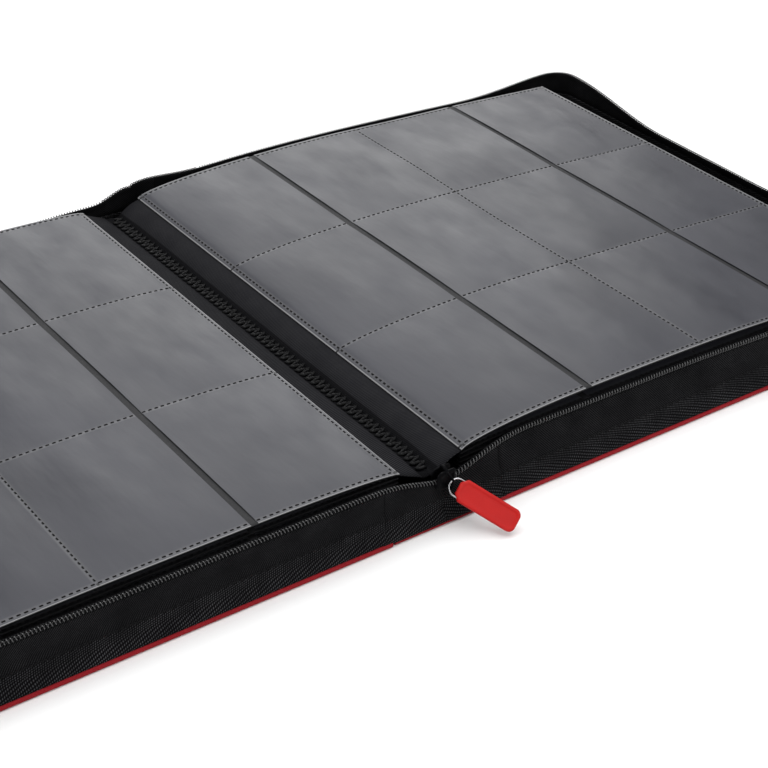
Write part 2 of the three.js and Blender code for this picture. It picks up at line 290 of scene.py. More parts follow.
def nylon():
    """Glossy black monofilament."""
    made = Finish("zip_coil", Specular_IOR_Level=0.8)
    dust = made.noise(made.solid(), 4 * MM, 3)
    color = made.mix(dust, (0.0025, 0.0025, 0.003), (0.007, 0.007, 0.008))
    draw = made.noise(made.solid(), 0.3 * MM, 2)
    return made.dress(color, made.remap(dust, 0.3, 0.7, 0.14, 0.28), draw, 0.02 * MM, 0.4)


def enamel():
    """Black enamel on cast zinc, lighter on its edges and scuffs: rubbed enamel, and painted glints on the edges."""
    made = Finish("slider_metal", Specular_IOR_Level=0.03)
    place = made.solid()
    edges = made.node("ShaderNodeNewGeometry").outputs["Pointiness"]
    scuffs = made.noise(place, 1.2 * MM, 4, 0.7)
    # Lighter edges and scuffs: partly worn enamel, partly painted glints.
    wear_and_glint = made.math("MULTIPLY", made.remap(edges, 0.56, 0.66), made.remap(scuffs, 0.42, 0.65))
    color = made.mix(wear_and_glint, (0.0015, 0.0015, 0.002), (0.05, 0.05, 0.053))
    return made.dress(color, made.remap(scuffs, 0.3, 0.7, 0.28, 0.48), scuffs, 0.03 * MM, 0.5)


def steel():
    """Bright drawn steel wire."""
    made = Finish("pull_wire", Metallic=1.0)
    lines = made.noise(made.solid(), 0.5 * MM, 3, 0.6)
    return grained(made, lines, (0.25, 0.25, 0.26), (0.5, 0.5, 0.51), (0.16, 0.34), 0.015 * MM)


def rubber():
    """Moulded red rubber with a fine matt texture."""
    made = Finish("pull_rubber", Specular_IOR_Level=0.16)
    place = made.solid()
    tone = made.noise(place, 7 * MM, 3)
    pores = made.noise(place, 0.25 * MM, 2)
    color = made.mix(tone, (0.35, 0.0065, 0.006), (0.45, 0.011, 0.009))
    return made.dress(color, made.remap(pores, 0.3, 0.7, 0.4, 0.56), pores, 0.03 * MM, 0.5)


def greyboard():
    """Grey pulp board with flecks."""
    made = Finish("board")
    flecks = made.noise(made.solid(), 1.5 * MM, 5, 0.7)
    return grained(made, flecks, (0.22, 0.2, 0.16), (0.4, 0.37, 0.31), (0.88, 1.0), 0.1 * MM)


def lining():
    """Plain-woven black cloth, by the row's own axes."""
    made = Finish("lining", Specular_IOR_Level=0.15)
    x, y, _ = made.parts(made.solid())
    weave = made.math("MULTIPLY", made.ribs(x, 0.6 * MM), made.ribs(y, 0.6 * MM))
    color = made.mix(weave, (0.005, 0.005, 0.006), (0.018, 0.018, 0.02))
    return made.dress(color, made.remap(weave, 0, 1, 0.92, 0.75), weave, 0.08 * MM, 0.6)


def floor_finish():
    made = Finish("floor", Roughness=0.7)
    tone = made.noise(made.solid(), 0.4, 2)
    made.set("Base Color", made.mix(tone, (0.85, 0.85, 0.85), (0.87, 0.87, 0.87)))
    return made.material


finish = {
    "cover_skin": leather(),
    "board": greyboard(),
    "lining": lining(),
    "gusset_cloth": woven("gusset_cloth", 1.2 * MM, 0.3, 0.095, 0.25 * MM, ribbed=0.95 * MM),
    "zip_tape": woven("zip_tape", 1.15 * MM, 0.9, 0.024, 0.2 * MM),
    "zip_coil": nylon(),
    "page_margin": woven("page_margin", 1.05 * MM, 0.55, 0.028, tint=(0.0085, 0.0085, 0.0103), floor=6.6 * MM),
    "thread": thread(),
    "page_backing": backing(),
    "pocket_film": film(),
    # The film of the lower faces and the stacked pages, with a broad dark rim: painted shade along the edges of the
    # stacked pages.
    "pocket_page": film("pocket_page", (0.006, 0.006, 0.0066), 3.2 * MM),
    "slider_metal": enamel(),
    "pull_wire": steel(),
    "pull_rubber": rubber(),
}


# ---------------------------------------------------------------- mesh tools


def build(name, points, faces, slot, sheet=None, smooth=True, materials=None, material_of=None):
    """A closed mesh object with outward faces. sheet holds each point's flat place, in metres."""
    mesh = bpy.data.meshes.new(name)
    mesh.from_pydata([tuple(point) for point in points], [], [tuple(face) for face in faces])
    if sheet is not None:
        layer = mesh.uv_layers.new(name="sheet")
        corners = np.empty(len(mesh.loops), dtype=np.int32)
        mesh.loops.foreach_get("vertex_index", corners)
        layer.data.foreach_set("uv", np.asarray(sheet, float)[corners].ravel())
    for key in materials or [slot]:
        mesh.materials.append(finish[key])
    if material_of is not None:
        mesh.polygons.foreach_set("material_index", np.asarray(material_of, np.int32))
    shape = bmesh.new()
    shape.from_mesh(mesh)
    bmesh.ops.recalc_face_normals(shape, faces=shape.faces)
    shape.to_mesh(mesh)
    shape.free()
    mesh.polygons.foreach_set("use_smooth", [smooth] * len(mesh.polygons))
    made = bpy.data.objects.new(name, mesh)
    bpy.context.scene.collection.objects.link(made)
    return made


def grid_faces(index):
    corners = (index[:-1, :-1], index[1:, :-1], index[1:, 1:], index[:-1, 1:])
    return np.stack([corner.ravel() for corner in corners], axis=1)


def ring_faces(index, closed=False):
    """Faces between rings of points, with a flat face on the first and last of an open stack."""
    wrapped = np.concatenate([index, index[:, :1]], axis=1)
    if closed:
        wrapped = np.concatenate([wrapped, wrapped[:1]])
    faces = [tuple(face) for face in grid_faces(wrapped)]
    return faces if closed else [*faces, tuple(index[0][::-1]), tuple(index[-1])]


def shell(name, top, bottom, slot, sheet, **options):
    """A closed sheet between two grids of points."""
    rows, columns = top.shape[:2]
    index = np.arange(rows * columns).reshape(rows, columns)
    under = index + rows * columns
    rim = np.concatenate([index[:, 0], index[-1, 1:], index[-2::-1, -1], index[0, -2:0:-1]])
    after = np.roll(rim, -1)
    sides = np.stack([rim, rim + rows * columns, after + rows * columns, after], axis=1)
    faces = np.concatenate([grid_faces(index), grid_faces(under)[:, ::-1], sides])
    points = np.concatenate([top.reshape(-1, 3), bottom.reshape(-1, 3)])
    flat = np.concatenate([sheet.reshape(-1, 2)] * 2)
    return build(name, points, faces, slot, flat, **options)


def sweep(name, path, across, up, section, slot, closed=False, **options):
    """A section, as (out, up) pairs for all points of a path or each, swept along it. across points outwards."""
    path, section = np.asarray(path, float), np.asarray(section, float)
    across, up = (np.broadcast_to(np.asarray(part, float), path.shape) for part in (across, up))
    if section.ndim == 2:
        section = np.repeat(section[None], len(path), axis=0)
    rings = path[:, None] + across[:, None] * section[..., :1] + up[:, None] * section[..., 1:]
    steps, sides = section.shape[:2]
    index = np.arange(steps * sides).reshape(steps, sides)
    length = np.concatenate([[0], np.cumsum(np.linalg.norm(np.diff(path, axis=0), axis=1))])
    flat = np.stack([np.repeat(length, sides), section[..., 1].ravel()], axis=1)
    return build(name, rings.reshape(-1, 3), ring_faces(index, closed), slot, flat, **options)


def tube(name, path, radius, sides, slot, closed=False, **options):
    """A round tube along path."""
    path = np.asarray(path, float)
    if closed:
        ahead = np.roll(path, -1, axis=0) - np.roll(path, 1, axis=0)
    else:
        ahead = np.gradient(path, axis=0)
    ahead /= np.linalg.norm(ahead, axis=1)[:, None]
    out = np.empty_like(path)
    side = np.cross(ahead[0], (0.31, 0.17, 0.93))
    for i, direction in enumerate(ahead):
        side = side - direction * side.dot(direction)
        side /= np.linalg.norm(side)
        out[i] = side
    up = np.cross(ahead, out)
    turns = np.linspace(0, 2 * math.pi, sides, endpoint=False)
    ring = radius * np.stack([np.cos(turns), np.sin(turns)], axis=1)
    return sweep(name, path, out, up, ring, slot, closed, **options)


def stitches(name, runs, length, radius):
    """Short raised stitches. runs holds a place, a direction and an up direction for each one."""
    points, faces = [], []
    profile = ((-0.5, 0.3, -0.6), (-0.3, 0.95, 0.1), (0.3, 0.95, 0.1), (0.5, 0.3, -0.6))
    sides = 5
    for place, along, up in runs:
        place, along, up = Vector(place), Vector(along).normalized(), Vector(up).normalized()
        side = along.cross(up)
        first = len(points)
        for share, size, rise in profile:
            middle = place + along * length * share + up * radius * rise
            for k in range(sides):
                turn = 2 * math.pi * k / sides
                points.append(middle + (side * math.cos(turn) + up * math.sin(turn)) * radius * size)
        for ring in range(len(profile) - 1):
            for k in range(sides):
                a = first + ring * sides + k
                b = first + ring * sides + (k + 1) % sides
                faces.append((a, b, b + sides, a + sides))
        faces.append(tuple(first + k for k in reversed(range(sides))))
        faces.append(tuple(first + (len(profile) - 1) * sides + k for k in range(sides)))
    return build(name, points, faces, "thread")


def smooth_step(value):
    value = min(max(value, 0), 1)
    return value * value * (3 - 2 * value)


def rows_at(where, along, rows):
    """Rows of values at new places along a line."""
    return np.stack([np.interp(where, along, column) for column in rows.T], axis=1)


def ripple(x, y, seed, size):
    """Smooth noise from about -1 to 1."""
    return noise.noise(Vector((x / size, y / size, seed * 7.31)))


# ---------------------------------------------------------------- leaves

BULGE = {-1: 3.5 * MM, 1: 7 * MM}
FILM_THICK, FILM_GAP = 0.25 * MM, 0.05 * MM
BACKING_HALF = 0.2 * MM
GRID_STEP = 3.6 * MM
# A leaf's arch is highest nearer its binding, the lower the power the nearer.
ARCH_POWER = 0.58
# How fast the arch dies away from the top leaf down.
ARCH_FADE = 9
# How far from a pocket's mouth its film swells fully.
SWELL_REACH = 45 * MM

# The height of each leaf's middle plane at its inner edge.
LEAF_MIDDLE = {1: (LEAF_LOW.z + LEAF_HIGH.z) / 2}
for leaf_number in range(2, LEAVES + 1):
    LEAF_MIDDLE[leaf_number] = sum(float(corner[2]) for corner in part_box(f"back_leaf_{leaf_number}")) / 2


def across_leaf(x):
    """A place's share of the way from a leaf's inner edge to its fore-edge."""
    return min(max((x - LEAF_INNER) / (LEAF_OUTER - LEAF_INNER), 0), 1)


def arch(x):
    """The shape of a leaf's arch between its binding and its fore-edge, from 0 to 1."""
    return math.sin(math.pi * across_leaf(x) ** ARCH_POWER)


def leaf_rise(side, x, y, number):
    """How much a leaf arches. The top leaf arches most."""
    wave = 0.16 * ripple(x, y, number, 90 * MM) * math.sin(math.pi * across_leaf(x))
    return BULGE[side] * (arch(x) + wave) * ((LEAVES + 1 - number) / LEAVES) ** ARCH_FADE


def columns_between(low, high, step=GRID_STEP):
    return np.linspace(low, high, max(2, round((high - low) / step) + 1))


def lines_through(stops):
    """Evenly spread lines of points, with one on each stop."""
    lines = [line for low, high in zip(stops, stops[1:]) for line in columns_between(low, high)[:-1]]
    return np.array([*lines, stops[-1]])


def row_lines():
    """Rows of points with one on each stitched line."""
    seams = (row * ROW_PITCH for row in (-1.5, -0.5, 0.5, 1.5))
    return lines_through([-LEAF_HALF, *seams, LEAF_HALF])


def pocket_puff(x, y, seed):
    """The film's rise over a pocket, from 0 at its stitched lines to 1 in its middle."""
    column = (x - FIRST_SEAM) / COLUMN_PITCH
    row = y / ROW_PITCH + ROWS / 2
    if not 0 < column < COLUMNS or not 0 < row < ROWS:
        return 0.0
    v = abs(2 * (row % 1) - 1)
    to_seam = min(column, abs(column - 2), COLUMNS - column)
    rise = smooth_step(2.2 * to_seam) * (1 - v ** 3.2)
    to_mouth = min(abs(x - mouth) for mouth in MOUTHS)
    rise *= 0.3 + 0.7 * smooth_step((to_mouth - MOUTH_HALF) / SWELL_REACH)
    crease = 0.22 * ripple(x + 0.5 * y, y * 0.45 - x, seed, 22 * MM)
    crease += 0.1 * ripple(x - 0.7 * y, y + 0.3 * x, seed + 3, 9 * MM)
    return rise * (0.8 + crease)


def panel_spans():
    """The three film panels of a page face, from its inner edge outwards."""
    first, last = MOUTHS
    return {
        "inner": (LEAF_INNER, first - MOUTH_HALF),
        "middle": (first + MOUTH_HALF, last - MOUTH_HALF),
        "outer": (last + MOUTH_HALF, LEAF_OUTER),
    }


def film_columns(low, high):
    """Columns of points across a panel, with one on each stitched line."""
    seams = (seam for seam in (FIRST_SEAM, MIDDLE_SEAM, LEAF_OUTER - SEAM_INSET) if low < seam < high)
    return lines_through([low, *seams, high])


def page_grid(side, xs, ys, height):
    return np.array([[(side * x, y, height(x, y)) for y in ys] for x in xs])


def flat_grid(xs, ys):
    return np.array([[(x - LEAF_INNER, y) for y in ys] for x in xs])


def lay_flat(piece, name):
    """A piece of the top leaf turns with it."""
    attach(piece, f"{name}_leaf_1")
    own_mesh(piece)


def top_leaf(name, side):
    """The leaf that shows: its backing, and three panels of film on each face."""
    ys = row_lines()
    body = f"{name}_leaf_1"
    xs = film_columns(LEAF_INNER, LEAF_OUTER)

    def middle(x, y):
        return LEAF_MIDDLE[1] + leaf_rise(side, x, y, 1)

    card_top = page_grid(side, xs, ys, lambda x, y: middle(x, y) + BACKING_HALF)
    card_low = page_grid(side, xs, ys, lambda x, y: middle(x, y) - BACKING_HALF)
    card = shell(f"{body}_card", card_top, card_low, "page_backing", flat_grid(xs, ys))
    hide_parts(f"{body}_backing")
    lay_flat(card, name)
    for face_name, face in (("upper", 1), ("lower", -1)):
        seed = side * 3 + face
        puff = 1.4 * MM if face > 0 else 0.5 * MM

        def surface(x, y, face=face, seed=seed, puff=puff):
            lift = BACKING_HALF + FILM_GAP + FILM_THICK + puff * pocket_puff(x, y, seed)
            return middle(x, y) + face * lift

        for panel, (low, high) in panel_spans().items():
            xs = film_columns(low, high)
            outside = page_grid(side, xs, ys, surface)
            inside = outside - np.array((0, 0, face * FILM_THICK))
            look = ["pocket_film" if face > 0 else "pocket_page"]
            panel_name, flat = f"{body}_{face_name}_{panel}", flat_grid(xs, ys)
            sheet = shell(panel_name, outside, inside, "pocket_film", flat, materials=look)
            mark_flat(sheet)
            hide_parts(f"{body}_{face_name}_film_{panel}")
            lay_flat(sheet, name)
        seams(name, side, face_name, face, surface)


def seams(name, side, face_name, face, surface):
    """The stitches round a page and between its pockets."""
    last = FIRST_SEAM + COLUMNS * COLUMN_PITCH
    half = ROWS * ROW_PITCH / 2
    lines = [((x, -half), (x, half)) for x in (FIRST_SEAM, MIDDLE_SEAM, last)]
    for row in range(ROWS + 1):
        y = -half + row * ROW_PITCH
        lines.append(((FIRST_SEAM, y), (last, y)))
    runs = []
    for (x0, y0), (x1, y1) in lines:
        low, high = (x0 - LEAF_INNER, x1 - LEAF_INNER) if y0 == y1 else (y0, y1)
        for k in range(math.ceil(low / STITCH_PITCH), math.floor(high / STITCH_PITCH)):
            place = (k + 0.25) * STITCH_PITCH
            x, y = (place + LEAF_INNER, y0) if y0 == y1 else (x0, place)
            if y0 == y1 and any(abs(x - mouth) < 2.2 * MM for mouth in MOUTHS):
                continue
            z = surface(x, y)
            ahead = 0.5 * MM
            dx, dy = (ahead, 0) if y0 == y1 else (0, ahead)
            rise = surface(x + dx, y + dy) - z
            runs.append(((side * x, y, z), (side * dx, dy, rise), (0, 0, face)))
    made = stitches(f"{name}_leaf_1_{face_name}_stitches", runs, 2.0 * MM, 0.34 * MM)
    lay_flat(made, name)


def inner_leaf(name, side, number):
    """A leaf inside the stack: one closed sheet, with film panels on both faces and dark mouths."""
    ys = row_lines() * 0.995
    spans = list(panel_spans().values())
    xs, dark = [], []
    for (low, high), after in zip(spans, [*spans[1:], None]):
        columns = film_columns(low, high)
        xs += list(columns)
        dark += [False] * (len(columns) - 1)
        if after:
            xs += [high + 0.15 * MM, after[0] - 0.15 * MM]
            dark += [True] * 3
    xs = np.array(xs)
    body = f"{name}_leaf_{number}"

    def surface(face):
        def height(x, y):
            in_mouth = any(abs(x - mouth) < MOUTH_HALF - 0.05 * MM for mouth in MOUTHS)
            puff = 0.0 if in_mouth else 0.22 * MM * pocket_puff(x, y, number * 2 + face)
            lift = BACKING_HALF + (0 if in_mouth else 0.12 * MM + puff)
            return LEAF_MIDDLE[number] + leaf_rise(side, x, y, number) + face * lift
        return page_grid(side, xs, ys, height)

    across = len(ys) - 1
    per_face = np.repeat(dark, across).astype(int)
    rim = 2 * (len(xs) - 1) + 2 * across
    material_of = np.concatenate([per_face, per_face, np.ones(rim, int)])
    leaf = shell(
        f"{body}_pages", surface(1), surface(-1), "pocket_page", flat_grid(xs, ys),
        materials=["pocket_page", "page_backing"], material_of=material_of,
    )
    mark_flat(leaf)
    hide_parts(body)
    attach(leaf, body)


# ---------------------------------------------------------------- binding

# A margin's section, from the middle of the valley out to the page: distance from the middle and height.
MARGIN_SECTION = {
    "front": ((0, 18.9), (1.5, 18.9), (3.3, 19.3), (5, 20.6), (8, 22), (12, 23.6), (15, 24.75), (17.2, 25.15)),
    "back": ((0, 18.6), (1.5, 18.4), (3.2, 18.3), (4.6, 19.6), (7, 21.9), (10.5, 23.9), (14, 24.9), (17.2, 25.15)),
}
VALLEY = 18.7 * MM
# The valley's dark floor ends a little further out on the back side.
FLOOR_SHIFT = {"front": 2.6 * MM, "back": 0.0}


def margin(name, side):
    """The woven margin that curves from the top page's edge down to the valley of the binding."""
    ys = columns_between(-LEAF_HALF + 0.5 * MM, LEAF_HALF - 0.5 * MM, 5 * MM)
    knots = np.array(MARGIN_SECTION[name]) * MM
    shares = np.linspace(0, 1, 24)
    rough = rows_at(shares, np.linspace(0, 1, len(knots)), knots)
    for _ in range(2):
        rough[1:-1] = 0.25 * rough[:-2] + 0.5 * rough[1:-1] + 0.25 * rough[2:]

    def place(k, y):
        x, z = rough[k]
        soft = math.sin(math.pi * shares[k])
        end = smooth_step((abs(y) - LEAF_HALF + 22 * MM) / (22 * MM))
        z += (0.35 * ripple(x, y, side, 38 * MM) - 0.9 * end) * soft * MM
        return side * x, y, z

    top = np.array([[place(k, y) for y in ys] for k in range(len(rough))])
    slope = np.gradient(rough, axis=0)
    slope /= np.linalg.norm(slope, axis=1)[:, None]
    inward = np.stack([side * slope[:, 1], np.zeros(len(rough)), -slope[:, 0]], axis=1)
    bottom = top + inward[:, None] * 0.45 * MM
    run = np.concatenate([[0], np.cumsum(np.linalg.norm(np.diff(rough, axis=0), axis=1))])
    flat = np.array([[(y, length + FLOOR_SHIFT[name]) for y in ys] for length in run])
    made = shell(f"{name}_margin_cloth", top, bottom, "page_margin", flat)
    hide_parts(f"{name}_page_margin")
    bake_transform(made)


def zigzag():
    """The bold thread that zigzags down the binding. Each side's swings are one piece."""
    pitch, reach, radius = 4.3 * MM, 3.0 * MM, 0.8 * MM
    half = LEAF_HALF - 4 * MM
    steps = 12
    count = int(2 * half / pitch)

    def place(k):
        phase = k / steps
        swing = 2 * abs(2 * (phase % 1) - 1) - 1
        swing = math.copysign(abs(swing) ** 0.8, swing)
        z = VALLEY + 0.75 * MM + 0.55 * MM * math.cos(4 * math.pi * phase) ** 2
        return swing * reach, -half + phase * pitch, z

    for name, side in SIDES.items():
        first = steps // 4 if side < 0 else 3 * steps // 4
        swings = []
        for turn in range(count):
            start = first + turn * steps
            path = [place(k) for k in range(start - 1, start + steps // 2 + 2)]
            swings.append(tube(f"{name}_zigzag", path, radius, 8, "thread"))
        made = joined(swings)
        if side < 0:
            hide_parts("binding_stitch")
        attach(made, "spine")
        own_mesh(made)


def joined(pieces):
    """The pieces as one object, with the first one's name."""
    for piece in pieces:
        piece.select_set(True)
    bpy.context.view_layer.objects.active = pieces[0]
    bpy.ops.object.join()
    pieces[0].select_set(False)
    return pieces[0]


# ---------------------------------------------------------------- covers


def wall_path(side, start, step):
    """Points, outward directions and distances along a cover's wall, from its near end to its far end."""
    x_far, y_far, radius = WALL_MIDDLE_X, WALL_MIDDLE_Y, WALL_RADIUS
    straight = x_far - radius - start
    corner = radius * math.pi / 2
    upright = 2 * (y_far - radius)
    total = 2 * straight + 2 * corner + upright
    points, outward, along = [], [], []
    for distance in np.linspace(0, total, round(total / step) + 1):
        half = distance if distance <= total / 2 else total - distance
        mirror = -1 if distance <= total / 2 else 1
        if half <= straight:
            x, y, out = start + half, y_far, (0, 1)
        elif half <= straight + corner:
            turn = (half - straight) / radius
            x = x_far - radius + radius * math.sin(turn)
            y = y_far - radius + radius * math.cos(turn)
            out = (math.sin(turn), math.cos(turn))
        else:
            x, y, out = x_far, y_far - radius - (half - straight - corner), (1, 0)
        points.append((side * x, mirror * y, 0))
        outward.append((side * out[0], mirror * out[1], 0))
        along.append(distance)
    return np.array(points), np.array(outward), np.array(along)


def node_wall(node, side, step):
    """The wall's path from where a CAD node of the cover starts."""
    return wall_path(side, abs(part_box(node)[side < 0][0]), step)


def hump(value, low, high):
    return smooth_step((value - low) / (high - low))


def slack(x, y):
    """How slack a wall is at a place on it, along the far side and the fore-edge: 0 at its corners, 1 between."""
    far_side = hump(WALL_MIDDLE_X - abs(x), 14 * MM, 85 * MM)
    fore_edge = hump(WALL_MIDDLE_Y - y, 14 * MM, 95 * MM) * hump(WALL_MIDDLE_Y + y, 20 * MM, 130 * MM)
    on_far_side, on_fore_edge = y > WALL_MIDDLE_Y - 5 * MM, abs(x) > WALL_MIDDLE_X - 5 * MM
    return far_side * on_far_side, fore_edge * on_fore_edge


def sag(x, y):
    """How far the zip sags at a place on the wall."""
    far_side, fore_edge = slack(x, y)
    drop = (4.6 - 7 * arch(x)) * MM * far_side + 8 * MM * fore_edge
    if y < 0:
        return drop + 6.5 * MM * math.exp(-((x / (19 * MM)) ** 2))
    swell = math.exp(-(((x - 13 * MM) / (26 * MM)) ** 2)) * hump(x, -8 * MM, 14 * MM)
    return drop - 5.2 * MM * swell + 1 * MM * far_side * (1 - hump(x, -8 * MM, 40 * MM))


def inward(x, y):
    """How far the top of the wall leans in towards the pages where it is slack."""
    far_side, fore_edge = slack(x, y)
    if y < 0 and x > 0:
        return 1.8 * MM * fore_edge + 4.6 * MM * hump(x, 10 * MM, 50 * MM) * (1 - hump(x, 130 * MM, 280 * MM))
    return 2.4 * MM * far_side * hump(abs(x), 20 * MM, 60 * MM) + 1.8 * MM * fore_edge


def upright_section(low, high, half, rows, out_of):
    """A thin upright section with points up both faces. out_of gives each height's lean."""
    heights = np.linspace(low, high, rows)
    right = [(out_of(z) + half, z) for z in heights]
    left = [(out_of(z) - half, z) for z in reversed(heights)]
    return right + left


def gusset_out(z, wave, flare):
    """How far the gusset stands out at a height: it flares at its foot to cover the cover's rim."""
    foot = 1 - smooth_step((z - 3.2 * MM) / (5.5 * MM))
    belly = math.sin(math.pi * min(max((z - LINING_TOP) / (13 * MM), 0), 1))
    return flare * foot + (0.5 * MM + wave) * belly


def tape_out(z, low, top):
    """The tape laps the gusset's outside at its foot and goes behind the coil at its top."""
    foot = 1 - smooth_step((z - low) / (4.5 * MM))
    head = smooth_step((z - top + 3.4 * MM) / (2.2 * MM))
    return 1.35 * MM * foot - 0.72 * MM * head


def gusset_strip(name, path, out, waves, low):
    """A strip of ribbed cloth along path."""
    high = WALL_HIGH.z + 0.3 * MM
    sections = []
    for (out_x, out_y, _), wave in zip(out, waves):
        flare = FORE_FLARE * out_x * out_x + END_FLARE * out_y * out_y
        sections.append(upright_section(low, high, 0.42 * MM, 12, lambda z: gusset_out(z, wave, flare)))
    return sweep(name, path, out, (0, 0, 1), sections, "gusset_cloth")


def tape_strip(name, path, out, waves):
    """A strip of twill tape along path, whose top follows the zip's sag."""
    low = TAPE_FOOT
    sections = []
    for (x, y, _), wave in zip(path, waves):
        top = tape_top(x, y)
        slump = inward(x, y)

        def lean(z, top=top, wave=wave, slump=slump):
            share = (z - low) / (top - low)
            return tape_out(z, low, top) + wave * math.sin(math.pi * share) - slump * smooth_step(share)

        sections.append(upright_section(low, top, 0.24 * MM, 12, lean))
    return sweep(name, path, out, (0, 0, 1), sections, "zip_tape")


def gusset_wall(name, side):
    """The ribbed cloth wall round a cover, slightly wavy."""
    path, out, along = node_wall(f"{name}_gusset", side, 2.5 * MM)
    waves = [0.3 * MM * ripple(distance, 0, side, 26 * MM) for distance in along]
    made = gusset_strip(f"{name}_gusset_wall", path, out, waves, SKIN_RIM + 0.1 * MM)
    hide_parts(f"{name}_gusset")
    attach(made, f"{name}_cover")


def sewn_row(name, path, out, along, height_at, reach_at, spacing, body):
    """A row of small stitches round a wall."""
    where = np.arange(along[0] + spacing, along[-1] - spacing, spacing)
    places, outward = rows_at(where, along, path), rows_at(where, along, out)
    places[:, 2] = [height_at(x, y) for x, y, _ in places]
    runs = []
    for place, after, facing in zip(places, places[1:], outward):
        runs.append((place + facing * reach_at(*place), after - place, facing))
    made = stitches(name, runs, 0.62 * spacing, 0.22 * MM)
    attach(made, body)


def tape_top(x, y):
    return COIL_MIDDLE + 0.75 * MM - sag(x, y)


def zip_tape(name, side):
    """The twill tape, sewn to the gusset's outside, with a row of stitches under the coil."""
    path, out, along = node_wall(f"{name}_zip_tape", side, 2.5 * MM)
    waves = [0.25 * MM * ripple(distance, 4, side, 24 * MM) for distance in along]
    made = tape_strip(f"{name}_tape", path, out, waves)
    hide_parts(f"{name}_zip_tape")
    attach(made, f"{name}_cover")

    def surface(x, y, height):
        top = tape_top(x, y)
        slump = inward(x, y) * smooth_step((height - TAPE_FOOT) / (top - TAPE_FOOT))
        return tape_out(height, TAPE_FOOT, top) - slump + 0.3 * MM

    rows = {"upper": lambda x, y: tape_top(x, y) - 2.9 * MM, "lower": lambda x, y: TAPE_FOOT + 0.9 * MM}
    for row, height_at in rows.items():
        sewn_row(f"{name}_tape_{row}_stitches", path, out, along, height_at, surface, 2.0 * MM, f"{name}_cover")


def coil_along(name, path, out, along):
    """A wound coil that follows the zip's line: one turn each pitch, on the outside of its tape."""
    pitch, sides = 1.6 * MM, 9
    turns = int((along[-1] - along[0]) / pitch)
    count = turns * sides + 1
    where = np.linspace(along[0], along[-1], count)
    base, outward = rows_at(where, along, path), rows_at(where, along, out)
    angle = np.arange(count) * 2 * math.pi / sides
    slump = np.array([inward(x, y) for x, y, _ in base])
    points = base + outward * ((0.25 + 0.78 * np.cos(angle)) * MM - slump)[:, None]
    points[:, 2] = [COIL_MIDDLE - sag(x, y) for x, y, _ in base]
    points[:, 2] += 0.86 * np.sin(angle) * MM
    return tube(name, points, 0.31 * MM, 6, "zip_coil")


def zip_coil(name, side):
    path, out, along = node_wall(f"{name}_zip_coil", side, 2 * MM)
    made = coil_along(f"{name}_coil", path, out, along)
    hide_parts(f"{name}_zip_coil")
    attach(made, f"{name}_cover")


def cover_ring(side, inset, z, inner, steps=10):
    """One ring round a cover, inset from its edge, but not at its spine side."""
    x_far, y_far, radius = SKIN_HIGH.x - inset, SKIN_HIGH.y - inset, 14 * MM - inset
    points = [(side * inner, -y_far, z)]
    for end in (-1, 1):
        for k in range(steps + 1):
            share = k / steps if end < 0 else 1 - k / steps
            turn = share * math.pi / 2
            x = x_far - radius + radius * math.sin(turn)
            points.append((side * x, end * (y_far - radius + radius * math.cos(turn)), z))
    points.append((side * inner, y_far, z))
    return points


def ring_stack(name, rings, slot, **options):
    """A closed body from rings of points, with a flat face on the first and last."""
    size = len(rings[0])
    index = np.arange(len(rings) * size).reshape(len(rings), size)
    points = [point for ring in rings for point in ring]
    return build(name, points, ring_faces(index), slot, **options)


# How the skin wraps the board's edge: inset and height, from the underside round to the turn-in
# and back along its inside.
SKIN_WRAP = (
    (2.7, 0.0), (1.65, 0.12), (1.22, 0.5), (1.1, 1.0), (1.1, 1.9), (1.24, 2.45), (1.6, 2.85), (2.2, 2.98), (3.4, 3.0),
    (3.4, 2.84), (2.4, 2.8), (1.95, 2.5), (1.75, 2.0), (1.72, 1.2), (2.0, 0.7), (2.9, 0.55),
)
# The wrap's first rings show red; the rest lie inside, behind the lining.
RED_RINGS = 7

def cover_skin(name, side):
    """The red skin, wrapped round the board's edge and turned in."""
    inner = SKIN_LOW.x
    rings = [cover_ring(side, inset * MM, height * MM, inner) for inset, height in SKIN_WRAP]
    turned_in = [0] * RED_RINGS + [1] * (len(rings) - 1 - RED_RINGS)
    material_of = [*np.repeat(turned_in, len(rings[0])), 0, 1]
    looks = ["cover_skin", "lining"]
    made = ring_stack(f"{name}_wrapped_skin", rings, "cover_skin", materials=looks, material_of=material_of)
    mark_flat(made)
    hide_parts(f"{name}_cover_skin")
    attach(made, f"{name}_cover")


def mark_flat(made, angle=math.radians(38)):
    """Keeps the edges sharper than an angle crisp under smooth shading."""
    bpy.context.view_layer.objects.active = made
    made.select_set(True)
    bpy.ops.object.shade_smooth_by_angle(angle=angle)
    made.select_set(False)
    for modifier in list(made.modifiers):
        bpy.ops.object.modifier_apply(modifier=modifier.name)


